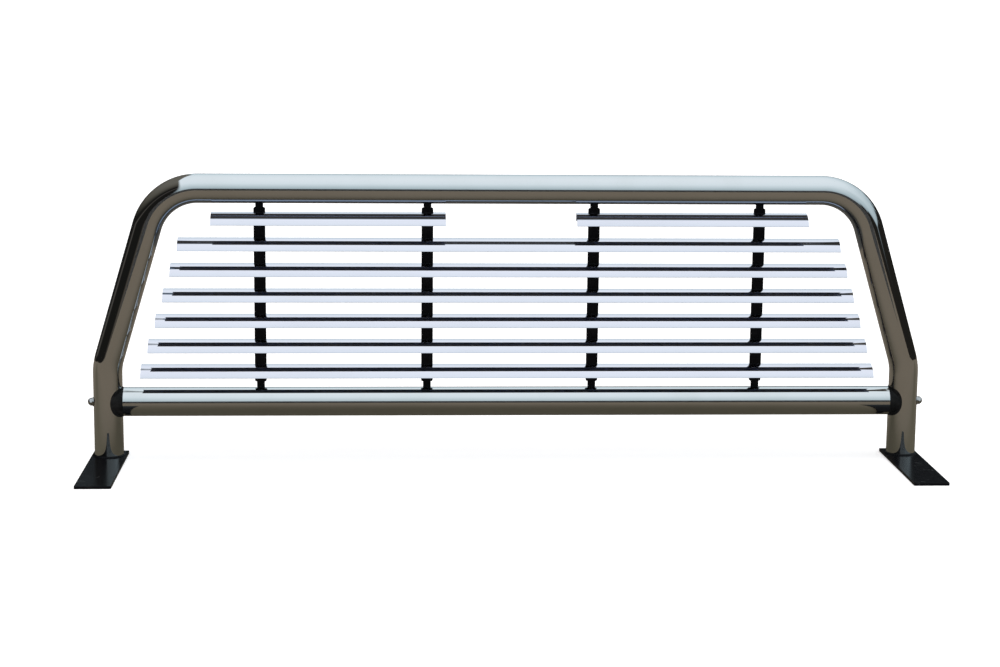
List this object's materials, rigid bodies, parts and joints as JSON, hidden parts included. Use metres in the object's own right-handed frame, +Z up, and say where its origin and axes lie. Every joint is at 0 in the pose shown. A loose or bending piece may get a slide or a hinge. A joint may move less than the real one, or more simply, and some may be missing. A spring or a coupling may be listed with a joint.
{
  "type": "headache rack",
  "caption": "Polished tube hoop on two black foot plates, with a bolted cross tube and curved louvers on black strips; guards a pickup cab's rear window.",
  "frame": {"origin": "on the ground plane under the foot plates, midway between the legs, at the middle of the plates' length", "axes": "+X along the rack's width, +Y towards the cab, +Z up"},
  "size_m": [1.8428, 0.33, 0.6258],
  "materials": {
    "polished_tube": "mirror-polished stainless steel tube",
    "polished_louver": "bright-polished aluminium extrusion",
    "black_powder_coat": "satin black powder coat",
    "black_moulding": "matt black moulded plastic",
    "plain_steel": "plain zinc-plated steel",
    "bright_fastener": "bright stainless steel",
    "rivet_alloy": "plain aluminium rivet"
  },
  "bodies": {
    "root": {"hoop_tube": "polished_tube", "cross_tube": "polished_tube", "foot_plate_left": "black_powder_coat", "saddle_left": "black_moulding", "end_plug_left": "plain_steel", "stud_left": "plain_steel", "saddle_washer_left": "bright_fastener", "cap_nut_left": "bright_fastener", "foot_plate_right": "black_powder_coat", "saddle_right": "black_moulding", "end_plug_right": "plain_steel", "stud_right": "plain_steel", "saddle_washer_right": "bright_fastener", "cap_nut_right": "bright_fastener", "louver_1_left": "polished_louver", "louver_1_right": "polished_louver", "louver_2": "polished_louver", "louver_3": "polished_louver", "louver_4": "polished_louver", "louver_5": "polished_louver", "louver_6": "polished_louver", "louver_7": "polished_louver", "support_strip_1": "black_powder_coat", "support_strip_2": "black_powder_coat", "support_strip_3": "black_powder_coat", "support_strip_4": "black_powder_coat", "rivet_1_1": "rivet_alloy", "rivet_1_2": "rivet_alloy", "rivet_1_3": "rivet_alloy", "rivet_1_4": "rivet_alloy", "rivet_2_1": "rivet_alloy", "rivet_2_2": "rivet_alloy", "rivet_2_3": "rivet_alloy", "rivet_2_4": "rivet_alloy", "rivet_3_1": "rivet_alloy", "rivet_3_2": "rivet_alloy", "rivet_3_3": "rivet_alloy", "rivet_3_4": "rivet_alloy", "rivet_4_1": "rivet_alloy", "rivet_4_2": "rivet_alloy", "rivet_4_3": "rivet_alloy", "rivet_4_4": "rivet_alloy", "rivet_5_1": "rivet_alloy", "rivet_5_2": "rivet_alloy", "rivet_5_3": "rivet_alloy", "rivet_5_4": "rivet_alloy", "rivet_6_1": "rivet_alloy", "rivet_6_2": "rivet_alloy", "rivet_6_3": "rivet_alloy", "rivet_6_4": "rivet_alloy", "rivet_7_1": "rivet_alloy", "rivet_7_2": "rivet_alloy", "rivet_7_3": "rivet_alloy", "rivet_7_4": "rivet_alloy"}
  },
  "joints": []
}
